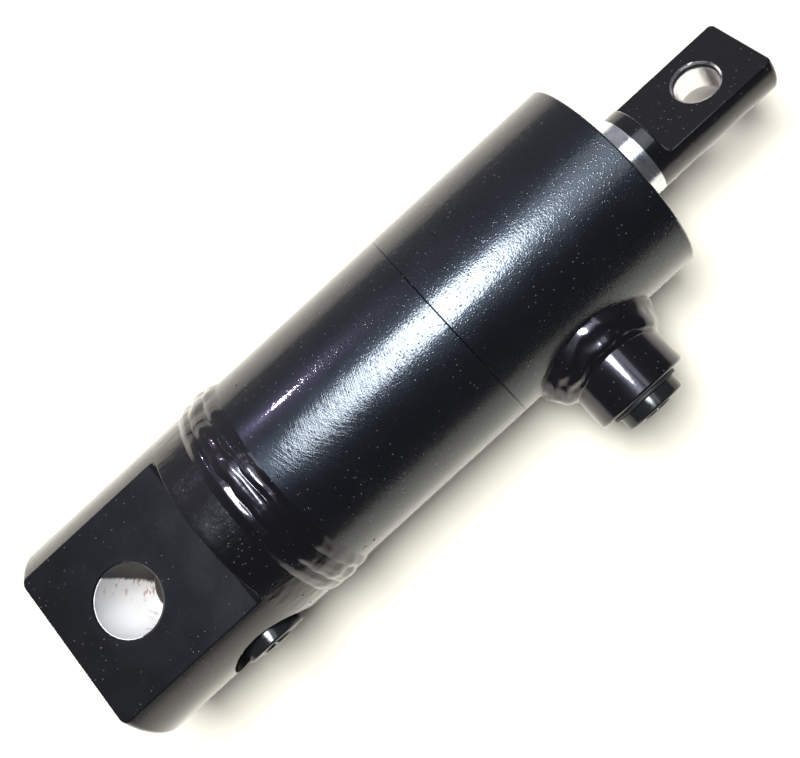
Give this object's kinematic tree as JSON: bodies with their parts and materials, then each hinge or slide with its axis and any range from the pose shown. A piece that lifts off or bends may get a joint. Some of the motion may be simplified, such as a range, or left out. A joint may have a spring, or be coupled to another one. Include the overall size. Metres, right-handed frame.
{
  "type": "hydraulic cylinder",
  "caption": "Short double-acting hydraulic cylinder, black, with a flat-sided pin end block, a flattened rod eye and plugged side ports.",
  "frame": {"origin": "centre of the base pin bore, on the cylinder's axis", "axes": "+X along the cylinder towards the rod end, +Z along the base pin bore, both ports face -Y"},
  "size_m": [0.2431, 0.0881, 0.0664],
  "materials": {
    "black_paint": "gloss",
    "chrome": "polished hard chrome",
    "machined_steel": "machined",
    "nitrile": "satin",
    "polyurethane": "satin",
    "seal_polymer": "satin",
    "black_plastic": "gloss"
  },
  "bodies": {
    "barrel": {"base_block": "black_paint", "barrel_tube": "black_paint", "base_weld": "black_paint", "head_cap": "black_paint", "head_port_boss": "black_paint", "head_port_weld": "black_paint", "head_joint_oring": "nitrile", "head_joint_backup_ring": "seal_polymer", "rod_guide_ring": "seal_polymer", "rod_seal": "polyurethane", "rod_seal_energizer": "nitrile", "rod_wiper": "polyurethane"},
    "piston_rings": {"piston_guide_front": "seal_polymer", "piston_guide_rear": "seal_polymer", "piston_seal": "seal_polymer", "piston_seal_energizer": "nitrile"},
    "rod": {"piston_rod": "chrome", "rod_eye": "black_paint", "piston": "machined_steel", "piston_bore_oring": "nitrile", "piston_lock_nut": "machined_steel"},
    "head_plug": {"head_port_plug": "black_plastic", "head_port_plug_seal": "nitrile"},
    "base_plug": {"base_port_plug": "black_plastic", "base_port_plug_seal": "nitrile"}
  },
  "joints": [
    {"name": "rod_slide", "type": "slide", "parent": "barrel", "child": "piston_rings", "axis": [1, 0, 0], "range_m": [0, 0.0508]},
    {"name": "rod_turn", "type": "hinge", "parent": "piston_rings", "child": "rod", "pos_m": [0, 0, 0], "axis": [1, 0, 0], "continuous": true},
    {"name": "head_plug_out", "type": "slide", "parent": "barrel", "child": "head_plug", "axis": [0, -1, 0], "range_m": [0, 0.025]},
    {"name": "base_plug_out", "type": "slide", "parent": "barrel", "child": "base_plug", "axis": [0, -1, 0], "range_m": [0, 0.025]}
  ]
}
